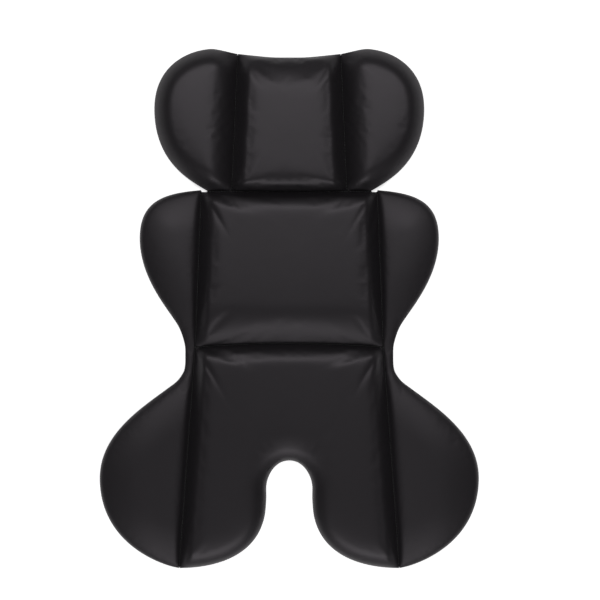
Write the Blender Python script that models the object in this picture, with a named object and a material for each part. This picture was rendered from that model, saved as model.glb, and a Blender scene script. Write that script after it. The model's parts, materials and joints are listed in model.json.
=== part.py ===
"""Padded seat liner for an infant: a head pillow, a back pad and a seat pad, each with two side cells.

The liner lies flat on its rear face with its front face up. X runs across it, +Y points to the head end
and +Z out of the front. Each of the nine cells is a front cover, a filling and a rear lining. The cells
are joined along straight sewn folds, and those folds are the hinges.
"""
import math

import bmesh
import bpy
from mathutils import Vector
from mathutils.geometry import delaunay_2d_cdt, intersect_line_line_2d

# Overall sizes, in metres. Widths run from side to side, and heights from fold to edge or fold to fold.
HEAD_WIDTH = 0.3375
HEAD_HEIGHT = 0.1785
BACK_WIDTH = 0.3740
BACK_HEIGHT = 0.1945
SEAT_WIDTH = 0.4740
SEAT_DEPTH = 0.2760

# Head pillow: the middle pad between its two channels, and the lobes of the two bolsters.
HEAD_PAD_TOP_WIDTH = 0.1290
HEAD_PAD_BOTTOM_WIDTH = 0.1440
HEAD_LOBE_SPREAD = 0.1910
HEAD_LOBE_TO_WIDEST = 0.0750
HEAD_CHANNEL_DROP = 0.0063
HEAD_MIDDLE_DIP = 0.0107
HEAD_JOIN_WIDTH = 0.2050

# Back pad: the middle pad between its side folds, the shoulders and the widest place of the wings.
BACK_PAD_TOP_WIDTH = 0.2200
BACK_PAD_BOTTOM_WIDTH = 0.2350
SHOULDER_RISE = 0.0020
SHOULDER_TO_WIDEST = 0.0600

# Necks: the flat strips beside the waist, which carry the wings' fabric on to the seat. Their widths
# are measured from the side folds.
NECK_RISE = 0.0215
NECK_DROP = 0.0420
NECK_TOP_WIDTH = 0.0196
NECK_NARROWEST_WIDTH = 0.0118
NECK_BOTTOM_WIDTH = 0.0195
NECK_NARROWEST_DROP = 0.0095

# Seat pad: the middle pad, its two front lobes and the slot for the crotch strap between them.
SEAT_PAD_BOTTOM_WIDTH = 0.2750
SEAT_EDGE_TO_WIDEST = 0.1125
SLOT_WIDTH = 0.0575
SLOT_DEPTH = 0.1345
SLOT_ROUND_HEIGHT = 0.0320
SLOT_FLARE_HEIGHT = 0.0850

# Section through a cell, from the floor up.
SEAM_HEIGHT = 0.0070
COVER_THICKNESS = 0.0010
LINING_THICKNESS = 0.0008
FRONT_ROLL = 0.0260
REAR_ROLL = 0.0140
MIDDLE_CROWN = 0.0130
WING_CROWN = 0.0120
HEAD_CROWN = 0.0160

# Rings that a cell's roll is cut into, from its edge (0) to its crown (1), and the filling's first one.
RING_PLACES = (0.0, 0.15, 0.4, 0.7, 1.0)
CORE_FIRST_RING = 1

# Limits on the roll where a cell is narrow: its share of the room across the cell, the share that a short
# edge may lose, and how fast it may widen again along the outline.
ROOM_SHARE = 0.42
EDGE_SHARE = 0.85
ROOM_SLOPE = 0.5

# Clearances: between the two edges at a fold, between layers, and between pieces that meet end to end.
FOLD_GAP = 0.0020
LAYER_GAP = 0.0003
CORE_GAP = 0.0005
END_GAP = 0.0003

# Sewn fold: the flattened fabric between two cells.
FOLD_STRIP_THICKNESS = 0.0010
NECK_THICKNESS = 0.0022

# Points laid along a straight fold edge, and along each bend of an outline.
FOLD_EDGE_STEPS = 4
BEND_STEPS = 9

# Edges that turn further than this, in degrees, are shaded sharp.
SHARP_ANGLE = 40

# Drawn size of the empties on the folds.
PIVOT_DISPLAY_SIZE = 0.0200

# How the flat crown is cut into triangles: only inside its edge, with no two corners nearer than this.
INSIDE_ONLY = 1
MERGE_DISTANCE = 0.000001

COVER_COLOUR = (0.030, 0.027, 0.031, 1.0)
LINING_COLOUR = (0.055, 0.055, 0.058, 1.0)
CORE_COLOUR = (0.780, 0.770, 0.740, 1.0)
FABRIC_ROUGHNESS = 0.62
CORE_ROUGHNESS = 0.95

HALF_GAP = FOLD_GAP / 2
TOP_Y = (HEAD_HEIGHT + BACK_HEIGHT + SEAT_DEPTH) / 2
HEAD_FOLD_Y = TOP_Y - HEAD_HEIGHT
WAIST_FOLD_Y = HEAD_FOLD_Y - BACK_HEIGHT
BOTTOM_Y = WAIST_FOLD_Y - SEAT_DEPTH
NECK_TOP_Y = WAIST_FOLD_Y + NECK_RISE
NECK_BOTTOM_Y = WAIST_FOLD_Y - NECK_DROP


class SideFold:
    """A straight sewn fold on the +X side, running from its lower end to its upper end."""

    def __init__(self, lower, upper):
        self.lower = Vector(lower)
        self.upper = Vector(upper)
        run = self.upper - self.lower
        self.lean = run.x / run.y
        self.sideways = HALF_GAP * math.hypot(1.0, self.lean)

    def out_from(self, y, distance):
        """The point at height y that lies so far outwards from the fold line."""
        return (self.lower.x + self.lean * (y - self.lower.y) + distance, y)

    def beside(self, y, side):
        """The point of a cell's edge at height y: side -1 is towards the middle, +1 is outwards."""
        return self.out_from(y, side * self.sideways)

    def edge(self, y_from, y_to, side, steps=FOLD_EDGE_STEPS):
        """Points of a cell's straight edge along the fold, both ends included."""
        return [self.beside(y_from + (y_to - y_from) * i / steps, side) for i in range(steps + 1)]


HEAD_FOLD = SideFold((HEAD_PAD_BOTTOM_WIDTH / 2, HEAD_FOLD_Y),
                     (HEAD_PAD_TOP_WIDTH / 2, TOP_Y - HEAD_CHANNEL_DROP))
BACK_FOLD = SideFold((BACK_PAD_BOTTOM_WIDTH / 2, WAIST_FOLD_Y),
                     (BACK_PAD_TOP_WIDTH / 2, HEAD_FOLD_Y))
SEAT_FOLD = SideFold((SEAT_PAD_BOTTOM_WIDTH / 2, BOTTOM_Y),
                     (BACK_PAD_BOTTOM_WIDTH / 2, WAIST_FOLD_Y))


def bend(start, start_angle, start_pull, end, end_angle, end_pull, steps=BEND_STEPS):
    """A smooth bend after its start point: it leaves and arrives at the angles given, in degrees.

    Each pull is how firmly the bend holds that direction, as a share of the distance between its ends.
    """
    start = Vector(start)
    end = Vector(end)
    reach = (end - start).length
    leave = start + start_pull * reach * heading(start_angle)
    arrive = end - end_pull * reach * heading(end_angle)
    points = []
    for i in range(1, steps + 1):
        t = i / steps
        s = 1.0 - t
        point = s ** 3 * start + 3 * s * s * t * leave + 3 * s * t * t * arrive + t ** 3 * end
        points.append((point.x, point.y))
    return points


def heading(angle):
    return Vector((math.cos(math.radians(angle)), math.sin(math.radians(angle))))


def both_halves(right_half):
    """A symmetric outline from its right half; a point on the middle line is kept once."""
    return right_half + [(-x, y) for x, y in reversed(right_half) if x > 0]


def mirrored(outline):
    return [(-x, y) for x, y in reversed(outline)]


def head_panel_outline():
    half = HEAD_FOLD.edge(HEAD_FOLD_Y + HALF_GAP, HEAD_FOLD.upper.y, -1)
    half.append((0.0, TOP_Y - HEAD_MIDDLE_DIP))
    return both_halves(half)


def head_bolster_outline():
    join = (HEAD_JOIN_WIDTH / 2, HEAD_FOLD_Y + HALF_GAP)
    widest = (HEAD_WIDTH / 2, TOP_Y - HEAD_LOBE_TO_WIDEST)
    lobe = (HEAD_LOBE_SPREAD / 2, TOP_Y)
    outline = [join]
    outline += bend(join, 30, 0.20, widest, 90, 0.55)
    outline += bend(widest, 90, 0.55, lobe, 180, 0.25)
    outline += HEAD_FOLD.edge(HEAD_FOLD.upper.y, HEAD_FOLD_Y + HALF_GAP, 1)
    return outline


def back_panel_outline():
    return both_halves(BACK_FOLD.edge(WAIST_FOLD_Y + HALF_GAP, HEAD_FOLD_Y - HALF_GAP, -1))


def back_wing_outline():
    lower_end = BACK_FOLD.out_from(NECK_TOP_Y, NECK_TOP_WIDTH)
    shoulder_y = HEAD_FOLD_Y + SHOULDER_RISE
    widest = (BACK_WIDTH / 2, shoulder_y - SHOULDER_TO_WIDEST)
    shoulder = BACK_FOLD.beside(shoulder_y, 1)
    outline = [lower_end]
    outline += bend(lower_end, 70, 0.15, widest, 90, 0.45)
    outline += bend(widest, 90, 0.50, shoulder, 175, 0.45, steps=7)
    outline += BACK_FOLD.edge(shoulder_y, NECK_TOP_Y, 1)[1:]
    return outline


def neck_outline():
    lower_y = NECK_BOTTOM_Y + END_GAP
    upper_y = NECK_TOP_Y - END_GAP
    narrowest = SEAT_FOLD.out_from(WAIST_FOLD_Y - NECK_NARROWEST_DROP, NECK_NARROWEST_WIDTH)
    lower_end = SEAT_FOLD.out_from(lower_y, NECK_BOTTOM_WIDTH)
    upper_end = BACK_FOLD.out_from(upper_y, NECK_TOP_WIDTH)
    outline = [lower_end]
    outline += bend(lower_end, 130, 0.45, narrowest, 90, 0.60, steps=4)
    outline += bend(narrowest, 90, 0.40, upper_end, 70, 0.60, steps=3)
    outline += BACK_FOLD.edge(upper_y, WAIST_FOLD_Y, 1, steps=1)
    outline += SEAT_FOLD.edge(WAIST_FOLD_Y, lower_y, 1, steps=1)[1:]
    return outline


def seat_panel_outline():
    slot_top = (0.0, BOTTOM_Y + SLOT_DEPTH)
    slot_side = (SLOT_WIDTH / 2, slot_top[1] - SLOT_ROUND_HEIGHT)
    flare_start = (SLOT_WIDTH / 2, BOTTOM_Y + SLOT_FLARE_HEIGHT)
    lobe = SEAT_FOLD.beside(BOTTOM_Y, -1)
    half = [slot_top]
    half += bend(slot_top, 0, 0.50, slot_side, -90, 0.15, steps=6)
    half += [flare_start]
    half += bend(flare_start, -90, 0.55, lobe, 0, 0.25)
    half += SEAT_FOLD.edge(BOTTOM_Y, WAIST_FOLD_Y - HALF_GAP, -1)[1:]
    return both_halves(half)


def thigh_wing_outline():
    lower_end = SEAT_FOLD.beside(BOTTOM_Y, 1)
    widest = (SEAT_WIDTH / 2, BOTTOM_Y + SEAT_EDGE_TO_WIDEST)
    upper_end = SEAT_FOLD.out_from(NECK_BOTTOM_Y, NECK_BOTTOM_WIDTH)
    outline = [lower_end]
    outline += bend(lower_end, 10, 0.15, widest, 90, 0.55)
    outline += bend(widest, 90, 0.40, upper_end, 140, 0.25)
    outline += SEAT_FOLD.edge(NECK_BOTTOM_Y, BOTTOM_Y, 1)[:-1]
    return outline


def inward_steps(outline):
    """For each corner, the move that takes both its edges inwards by one unit."""
    steps = []
    for i, point in enumerate(outline):
        before = Vector(outline[i - 1])
        here = Vector(point)
        after = Vector(outline[(i + 1) % len(outline)])
        arriving = (here - before).normalized()
        leaving = (after - here).normalized()
        first = Vector((-arriving.y, arriving.x))
        second = Vector((-leaving.y, leaving.x))
        steps.append((first + second) / (1.0 + first.dot(second)))
    return steps


def inward_room(outline, steps):
    """How far each corner may move in: the full roll, or less where the cell or one of its edges is short."""
    count = len(outline)
    sight = HEAD_WIDTH + SEAT_WIDTH
    corners = [Vector(point) for point in outline]
    room = []
    for i, step in enumerate(steps):
        reach = sight
        for k in range(count):
            after = (k + 1) % count
            if i in (k, after):
                continue
            hit = intersect_line_line_2d(corners[i], corners[i] + step * sight, corners[k], corners[after])
            if hit is not None:
                reach = min(reach, (hit - corners[i]).length / step.length)
        room.append(min(FRONT_ROLL, ROOM_SHARE * reach))
    for i in range(count):
        k = (i + 1) % count
        edge = corners[k] - corners[i]
        shortening = (steps[i] - steps[k]).dot(edge.normalized())
        if shortening > 0:
            most = EDGE_SHARE * edge.length / shortening
            room[i] = min(room[i], most)
            room[k] = min(room[k], most)
    for _ in range(count):
        for i in range(count):
            for k in (i - 1, (i + 1) % count):
                room[i] = min(room[i], room[k] + ROOM_SLOPE * (corners[k] - corners[i]).length)
    return room


def cell_plan(outline):
    """Rings of (x, y, distance in from the edge), and the triangles that close the last ring."""
    steps = inward_steps(outline)
    room = inward_room(outline, steps)
    rings = []
    for place in RING_PLACES:
        ring = []
        for point, step, most in zip(outline, steps, room):
            inset = place * most
            ring.append((point[0] + step.x * inset, point[1] + step.y * inset, inset))
        rings.append(ring)
    crown_edge = [Vector((x, y)) for x, y, _ in rings[-1]]
    whole = [list(range(len(crown_edge)))]
    _, _, triangles, origins, _, _ = delaunay_2d_cdt(crown_edge, [], whole, INSIDE_ONLY, MERGE_DISTANCE)
    lid = [[origins[corner][0] for corner in triangle] for triangle in triangles]
    return rings, lid


def front_height(inset, crown):
    """The front cover's outer face: it leaves the seam and rounds over on to the flat crown."""
    lip = LAYER_GAP / 2 + COVER_THICKNESS
    share = min(inset / FRONT_ROLL, 1.0)
    return SEAM_HEIGHT + lip + (crown - lip) * math.sin(share * math.pi / 2)


def rear_height(inset):
    """The lining's outer face: it drops from the seam to the floor and lies flat on it."""
    lip = LAYER_GAP / 2 + LINING_THICKNESS
    share = min(inset / REAR_ROLL, 1.0)
    return (SEAM_HEIGHT - lip) * (1.0 - math.sin(share * math.pi / 2))


def finish(name, colour, roughness):
    material = bpy.data.materials.new(name)
    material.use_nodes = True
    shader = material.node_tree.nodes["Principled BSDF"]
    shader.inputs["Base Color"].default_value = colour
    shader.inputs["Roughness"].default_value = roughness
    shader.inputs["Metallic"].default_value = 0.0
    return material


def place(name, bm, pivot, colour, roughness):
    """Make the named object from a mesh in world coordinates and hang it on its pivot."""
    bmesh.ops.translate(bm, verts=bm.verts, vec=-pivot.location_in_world)
    mesh = bpy.data.meshes.new(name)
    bm.to_mesh(mesh)
    bm.free()
    mesh.shade_smooth()
    mesh.set_sharp_from_angle(angle=math.radians(SHARP_ANGLE))
    mesh.materials.append(finish(name, colour, roughness))
    obj = bpy.data.objects.new(name, mesh)
    bpy.context.scene.collection.objects.link(obj)
    obj.parent = pivot.empty


def layer(name, plan, top, bottom, pivot, colour, roughness, first_ring=0):
    """One layer of a cell: a closed skin between two heights, each a function of the inset."""
    rings, lid = plan
    rings = rings[first_ring:]
    count = len(rings[0])
    bm = bmesh.new()
    upper = [[bm.verts.new((x, y, top(inset))) for x, y, inset in ring] for ring in rings]
    lower = [[bm.verts.new((x, y, bottom(inset))) for x, y, inset in ring] for ring in rings]
    for i in range(count):
        k = (i + 1) % count
        for outer, inner in zip(upper, upper[1:]):
            bm.faces.new((outer[i], outer[k], inner[k]))
            bm.faces.new((outer[i], inner[k], inner[i]))
        for outer, inner in zip(lower, lower[1:]):
            bm.faces.new((outer[i], inner[k], outer[k]))
            bm.faces.new((outer[i], inner[i], inner[k]))
        bm.faces.new((lower[0][i], lower[0][k], upper[0][k]))
        bm.faces.new((lower[0][i], upper[0][k], upper[0][i]))
    for a, b, c in lid:
        bm.faces.new((upper[-1][a], upper[-1][b], upper[-1][c]))
        bm.faces.new((lower[-1][a], lower[-1][c], lower[-1][b]))
    place(name, bm, pivot, colour, roughness)


def cell(name, outline, crown, pivot):
    """A padded cell: front cover, filling and rear lining, one inside the other."""
    plan = cell_plan(outline)
    layer(name + "_cover", plan,
          lambda inset: front_height(inset, crown),
          lambda inset: front_height(inset, crown) - COVER_THICKNESS,
          pivot, COVER_COLOUR, FABRIC_ROUGHNESS)
    layer(name + "_core", plan,
          lambda inset: front_height(inset, crown) - COVER_THICKNESS - CORE_GAP,
          lambda inset: rear_height(inset) + LINING_THICKNESS + CORE_GAP,
          pivot, CORE_COLOUR, CORE_ROUGHNESS, first_ring=CORE_FIRST_RING)
    layer(name + "_lining", plan,
          lambda inset: rear_height(inset) + LINING_THICKNESS,
          rear_height,
          pivot, LINING_COLOUR, FABRIC_ROUGHNESS)


def plate(name, outline, thickness, pivot):
    """A flat strip of sewn fabric at the height of the seams."""
    bm = bmesh.new()
    base = [bm.verts.new((x, y, SEAM_HEIGHT - thickness / 2)) for x, y in outline]
    face = bm.faces.new(base)
    sides = bmesh.ops.extrude_face_region(bm, geom=[face])
    raised = [item for item in sides["geom"] if isinstance(item, bmesh.types.BMVert)]
    bmesh.ops.translate(bm, verts=raised, vec=(0.0, 0.0, thickness))
    bmesh.ops.triangulate(bm, faces=bm.faces)
    bmesh.ops.recalc_face_normals(bm, faces=bm.faces)
    place(name, bm, pivot, COVER_COLOUR, FABRIC_ROUGHNESS)


def fold_strip_outline(start, end):
    """The narrow strip of stitched fabric between two cell edges, centred on the fold line."""
    start = Vector(start)
    end = Vector(end)
    along = (end - start).normalized()
    across = Vector((along.y, -along.x)) * (HALF_GAP - END_GAP)
    start = start + along * FOLD_GAP
    end = end - along * FOLD_GAP
    corners = (start + across, end + across, end - across, start - across)
    return [(corner.x, corner.y) for corner in corners]


class Pivot:
    """An empty on a fold line that carries the pieces which turn about it."""

    def __init__(self, name, start, end, parent=None):
        middle = (Vector(start) + Vector(end)) / 2
        self.location_in_world = Vector((middle.x, middle.y, SEAM_HEIGHT))
        self.empty = bpy.data.objects.new(name, None)
        self.empty.empty_display_size = PIVOT_DISPLAY_SIZE
        self.empty.location = self.location_in_world
        bpy.context.scene.collection.objects.link(self.empty)
        if parent is not None:
            self.empty.parent = parent.empty
            self.empty.location = self.location_in_world - parent.location_in_world


def turned_over(point, side):
    return (side * point[0], point[1])


def side_cells(side, side_name, back, head, seat):
    """The cells, folds and neck of one side: side is +1 or -1 along X."""
    shape = mirrored if side < 0 else list
    sections = (
        ("head_bolster", head_bolster_outline, HEAD_FOLD, head, HEAD_CROWN, HEAD_FOLD.lower, HEAD_FOLD.upper),
        ("back_wing", back_wing_outline, BACK_FOLD, back, WING_CROWN,
         BACK_FOLD.out_from(NECK_TOP_Y, 0.0), BACK_FOLD.upper),
        ("thigh_wing", thigh_wing_outline, SEAT_FOLD, seat, WING_CROWN,
         SEAT_FOLD.lower, SEAT_FOLD.out_from(NECK_BOTTOM_Y, 0.0)),
    )
    for name, outline, fold, parent, crown, hinge_start, hinge_end in sections:
        start = turned_over(hinge_start, side)
        end = turned_over(hinge_end, side)
        pivot = Pivot(name + "_pivot_" + side_name, start, end, parent)
        cell(name + "_" + side_name, shape(outline()), crown, pivot)
        strip = fold_strip_outline(fold.lower, fold.upper)
        plate(name + "_fold_" + side_name, shape(strip), FOLD_STRIP_THICKNESS, parent)
    plate("neck_" + side_name, shape(neck_outline()), NECK_THICKNESS, back)


def cross_fold(name, half_width, y, pivot):
    strip = fold_strip_outline((half_width, y), (-half_width, y))
    plate(name, strip, FOLD_STRIP_THICKNESS, pivot)


def main():
    for obj in list(bpy.data.objects):
        bpy.data.objects.remove(obj, do_unlink=True)

    head_half = HEAD_PAD_BOTTOM_WIDTH / 2
    waist_half = BACK_PAD_BOTTOM_WIDTH / 2
    back = Pivot("back_frame", (0.0, HEAD_FOLD_Y), (0.0, WAIST_FOLD_Y))
    head = Pivot("head_pivot", (-head_half, HEAD_FOLD_Y), (head_half, HEAD_FOLD_Y), back)
    seat = Pivot("waist_pivot", (-waist_half, WAIST_FOLD_Y), (waist_half, WAIST_FOLD_Y), back)

    cell("back_panel", back_panel_outline(), MIDDLE_CROWN, back)
    cell("head_panel", head_panel_outline(), HEAD_CROWN, head)
    cell("seat_panel", seat_panel_outline(), MIDDLE_CROWN, seat)
    cross_fold("head_fold", head_half, HEAD_FOLD_Y, back)
    cross_fold("waist_fold", waist_half, WAIST_FOLD_Y, back)
    side_cells(-1, "left", back, head, seat)
    side_cells(1, "right", back, head, seat)


main()
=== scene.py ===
"""The finished look of a padded seat liner for an infant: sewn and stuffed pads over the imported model."""

import json
import math

import bmesh
import bpy
import numpy as np
from bpy.props import FloatProperty, FloatVectorProperty, IntProperty, PointerProperty
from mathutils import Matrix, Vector
from mathutils.bvhtree import BVHTree
from mathutils.geometry import delaunay_2d_cdt
from mathutils.kdtree import KDTree

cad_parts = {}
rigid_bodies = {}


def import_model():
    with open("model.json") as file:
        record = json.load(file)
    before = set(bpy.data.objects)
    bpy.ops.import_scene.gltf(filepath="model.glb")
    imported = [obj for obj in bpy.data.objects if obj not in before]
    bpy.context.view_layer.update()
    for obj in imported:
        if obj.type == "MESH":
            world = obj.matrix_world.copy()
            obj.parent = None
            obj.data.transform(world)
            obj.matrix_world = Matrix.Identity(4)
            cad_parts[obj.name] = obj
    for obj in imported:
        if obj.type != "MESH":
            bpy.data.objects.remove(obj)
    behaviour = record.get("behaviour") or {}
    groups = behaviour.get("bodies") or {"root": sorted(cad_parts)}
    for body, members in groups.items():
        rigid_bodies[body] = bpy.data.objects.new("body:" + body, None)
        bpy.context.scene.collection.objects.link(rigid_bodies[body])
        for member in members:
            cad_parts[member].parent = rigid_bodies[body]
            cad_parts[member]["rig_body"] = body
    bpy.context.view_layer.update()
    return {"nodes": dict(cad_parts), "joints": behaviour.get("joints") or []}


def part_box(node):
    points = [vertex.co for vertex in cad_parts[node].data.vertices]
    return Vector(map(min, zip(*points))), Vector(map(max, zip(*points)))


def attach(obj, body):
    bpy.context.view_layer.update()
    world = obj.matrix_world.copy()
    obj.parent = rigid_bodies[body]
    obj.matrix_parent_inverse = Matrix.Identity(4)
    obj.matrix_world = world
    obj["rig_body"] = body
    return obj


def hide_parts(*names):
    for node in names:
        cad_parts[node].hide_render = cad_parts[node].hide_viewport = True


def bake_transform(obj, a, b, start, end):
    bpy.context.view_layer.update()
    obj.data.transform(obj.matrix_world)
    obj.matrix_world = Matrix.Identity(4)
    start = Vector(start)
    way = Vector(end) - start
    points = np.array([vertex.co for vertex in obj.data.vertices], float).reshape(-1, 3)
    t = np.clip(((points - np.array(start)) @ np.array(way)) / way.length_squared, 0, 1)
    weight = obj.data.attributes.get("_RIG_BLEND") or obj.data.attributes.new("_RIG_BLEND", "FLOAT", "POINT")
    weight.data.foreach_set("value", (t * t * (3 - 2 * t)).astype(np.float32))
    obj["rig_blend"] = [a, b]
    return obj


bl_info = {
    "name": "Infant seat liner",
    "version": (1, 0, 0),
    "blender": (4, 5, 0),
    "location": "View3D > Sidebar > Seat liner",
    "description": "Builds the pads, sewn folds and stitching of a padded seat liner around its packed frame",
    "category": "Object",
}

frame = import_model()
JOINTS = {joint["name"]: joint for joint in frame["joints"]}

SIDES = (("left", -1), ("right", 1))
LAYERS = ("cover", "core", "lining")
INSIDE_ONLY = 1
MERGE_DISTANCE = 0.000001
SAME_PLACE = 0.00001
UPRIGHT = 0.02
NEAR_FOLD = 0.0016

# The pads' plan mesh: its rings beside the edge, and the share of the mesh step along an edge.
RING_DEPTHS = (0.0009, 0.0022, 0.0042, 0.0070)
EDGE_STEP_SHARE = 0.75
RECENT_POINTS = 400

# Gathers beside a seam: the lengths of their waves, how far in they reach and where they start.
GATHER_LENGTHS = (0.0065, 0.0092, 0.0140, 0.0230)
GATHER_REACH = 0.0075
GATHER_START = 0.0015

# The cloth, as it is blown up. A side panel swells by a smaller share than the other pads.
CLOTH_FRAMES = 20
CLOTH = {
    "quality": 5,
    "mass": 0.25,
    "tension_stiffness": 18,
    "compression_stiffness": 18,
    "shear_stiffness": 8,
    "bending_stiffness": 0.6,
    "vertex_group_mass": "seam",
    "use_pressure": True,
}
SIDE_FULLNESS = 0.35
FLOOR_CLEARANCE = 0.0003

# The head pad's top edge sags by this much halfway between its middle and its ends.
HEAD_TOP_SAG = 0.0012

# How far beyond its join each side piece still twists, and the bend of the neck to each side of the waist.
WING_TWIST = 0.085
THIGH_TWIST = 0.080
NECK_BEND = 0.009

# The tacks at the top corners of the crotch slot.
TACK_FROM_MIDDLE = 0.010
TACK_DEPTH = 0.016
TACK_REACH = 0.040
TACK_WIDTH = 0.0034
TACK_LIFT = 0.0001

# Repeats of the cover's weave, the lining's ribs and the thread's twist.
WEAVE_PITCH = 0.00125
RIB_PITCH = 0.0016
PLY_PITCH = 0.0007

# Each light's name, place, aim and size. The settings hold their powers.
LIGHTS = (
    ("head_light", (0.0, 1.05, 1.15), (0.0, 0.16, 0.0), (1.3, 0.7)),
    ("foot_light", (0.0, -1.25, 1.05), (0.0, -0.02, 0.0), (1.2, 0.5)),
    ("top_light", (0.0, 0.84, 2.1), (0.0, 0.2, 0.0), (2.1, 0.5)),
)
SKY_COLOUR = (1.0, 0.985, 1.0, 1.0)
FLOOR_HALF = 3.0


# Sizes and colours that a maker would change.

class PadSizes(bpy.types.PropertyGroup):
    """How full the pads are and how their edges round over."""

    head_crown: FloatProperty(name="Head crown",
                              description="Height of the head pillow above its seams",
                              default=0.0195, unit="LENGTH")
    bolster_crown: FloatProperty(name="Bolster crown",
                                 description="Height of the head's side lobes above the seams",
                                 default=0.0185, unit="LENGTH")
    back_crown: FloatProperty(name="Back crown", description="Height of the back pad above its seams",
                              default=0.0150, unit="LENGTH")
    seat_crown: FloatProperty(name="Seat crown", description="Height of the seat pad above its seams",
                              default=0.0140, unit="LENGTH")
    side_crown: FloatProperty(name="Side crown",
                              description="Height of the side panels above their seams",
                              default=0.0135, unit="LENGTH")
    neck_share: FloatProperty(name="Neck share",
                              description="Share of the side panels' height left at the waist",
                              default=0.42, min=0.0, max=1.0)
    neck_reach: FloatProperty(name="Neck reach",
                              description="How far from the waist the side panels are flattened",
                              default=0.034, unit="LENGTH")
    rear_roll: FloatProperty(name="Rear roll",
                             description="Width over which the rear drops from the seam",
                             default=0.0150, unit="LENGTH")
    fold_gap: FloatProperty(name="Fold gap", description="Half the gap left between two pads at a fold",
                            default=0.0004, unit="LENGTH")
    waist_arch: FloatProperty(name="Waist arch",
                              description="How far the waist seam bows up in its middle",
                              default=0.0045, unit="LENGTH")
    mesh_step: FloatProperty(name="Mesh step",
                             description="Distance between points on a pad before it is refined",
                             default=0.0042, unit="LENGTH")
    puff: FloatProperty(name="Puff", description="Pressure that blows the cloth up", default=4.0)
    puff_limit: FloatProperty(name="Puff limit",
                              description="The furthest that a point may move as the cloth swells",
                              default=0.0022, unit="LENGTH")
    spare_cloth: FloatProperty(name="Spare cloth",
                               description="Extra cloth that puckers at the seams, as a share",
                               default=0.0015)
    pucker: FloatProperty(name="Pucker", description="Height of the small gathers beside a seam",
                          default=0.00012, unit="LENGTH")
    seed: IntProperty(name="Seed", description="Start of the random draws for the gathers", default=7)


class StitchSizes(bpy.types.PropertyGroup):
    """Thread and stitches."""

    thread_radius: FloatProperty(name="Thread radius", description="Radius of the sewing thread",
                                 default=0.00032, unit="LENGTH")
    seam_pitch: FloatProperty(name="Seam pitch", description="Distance between stitches in a fold",
                              default=0.0036, unit="LENGTH")
    seam_stitch: FloatProperty(name="Seam stitch", description="Length of a stitch in a fold",
                               default=0.0026, unit="LENGTH")
    seam_roll: FloatProperty(name="Seam roll", description="Radius of the rolled cloth inside a fold",
                             default=0.0010, unit="LENGTH")
    hem_pitch: FloatProperty(name="Hem pitch",
                             description="Distance between stitches round the rear edge",
                             default=0.0042, unit="LENGTH")
    hem_stitch: FloatProperty(name="Hem stitch", description="Length of a stitch round the rear edge",
                              default=0.0030, unit="LENGTH")
    hem_inset: FloatProperty(name="Hem inset",
                             description="Distance of the rear stitches from the edge",
                             default=0.0045, unit="LENGTH")
    tack_inset: FloatProperty(name="Tack inset",
                              description="Distance of the slot's tacks from its edge",
                              default=0.0040, unit="LENGTH")
    tack_pitch: FloatProperty(name="Tack pitch",
                              description="Distance between the slot's tack stitches",
                              default=0.0011, unit="LENGTH")


class FabricColours(bpy.types.PropertyGroup):
    """Colours of the cloth and thread, in linear light."""

    cover: FloatVectorProperty(name="Cover", description="Front fabric", subtype="COLOR",
                               default=(0.0048, 0.0042, 0.0050))
    # Lighter end of the cover's tone: random nap and weave, and painted light on the pads' crowns
    cover_nap_and_painted_crown: FloatVectorProperty(name="Cover, lighter nap and painted crown light",
                                     description="Front fabric where it stands proud",
                                     subtype="COLOR", default=(0.0085, 0.0076, 0.0088))
    lining: FloatVectorProperty(name="Lining", description="Rear knit", subtype="COLOR",
                                default=(0.0300, 0.0290, 0.0320))
    thread: FloatVectorProperty(name="Thread", description="Sewing thread", subtype="COLOR",
                                default=(0.0140, 0.0130, 0.0150))
    floor: FloatVectorProperty(name="Floor",
                               description="Backdrop that the liner lies on", subtype="COLOR",
                               default=(0.93, 0.93, 0.93))


class StudioSizes(bpy.types.PropertyGroup):
    """Camera and lights."""

    view_width: FloatProperty(name="View width", description="Width that the camera takes in",
                              default=0.750, unit="LENGTH")
    view_right: FloatProperty(name="View right",
                              description="Camera's place to the right of the liner's middle",
                              default=0.0134, unit="LENGTH")
    view_up: FloatProperty(name="View up",
                           description="Camera's place towards the head from the liner's middle",
                           default=0.0106, unit="LENGTH")
    lens: FloatProperty(name="Lens",
                        description="Focal length of the camera, in millimetres", default=100.0)
    head_light: FloatProperty(name="Head light",
                              description="Power of the light past the head, in watts",
                              default=1.0)
    foot_light: FloatProperty(name="Foot light",
                              description="Power of the light past the seat, in watts",
                              default=8.5)
    top_light: FloatProperty(name="Top light",
                             description="Power of the light overhead, in watts", default=18.5)
    sky: FloatProperty(name="Sky",
                       description="Strength of the even light from all round", default=0.11)
    floor_glow: FloatProperty(name="Floor glow",
                              description="Light that the backdrop gives off", default=0.70)


def settings():
    return bpy.context.scene.seat_liner


def linked(name, data):
    """A new object in the scene."""
    obj = bpy.data.objects.new(name, data)
    bpy.context.scene.collection.objects.link(obj)
    return obj


# Plan of the cells, read off the frame.

class FoldLine:
    """A straight fold of the frame, seen from above, by a point on it and its direction."""

    def __init__(self, at, along):
        self.at = np.array(at)
        self.along = np.array(along) / np.linalg.norm(along)

    def x_at(self, y):
        return self.at[0] + (y - self.at[1]) * self.along[0] / self.along[1]

    def point(self, y, sideways=0.0):
        return np.array((self.x_at(y) + sideways, y))

    def off(self, point):
        """How far a point lies from the fold."""
        gap = np.array(point) - self.at
        return abs(gap[0] * self.along[1] - gap[1] * self.along[0])


def fold_of(joint_name):
    joint = JOINTS[joint_name]
    return FoldLine(joint["pos_m"][:2], joint["axis"][:2])


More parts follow.
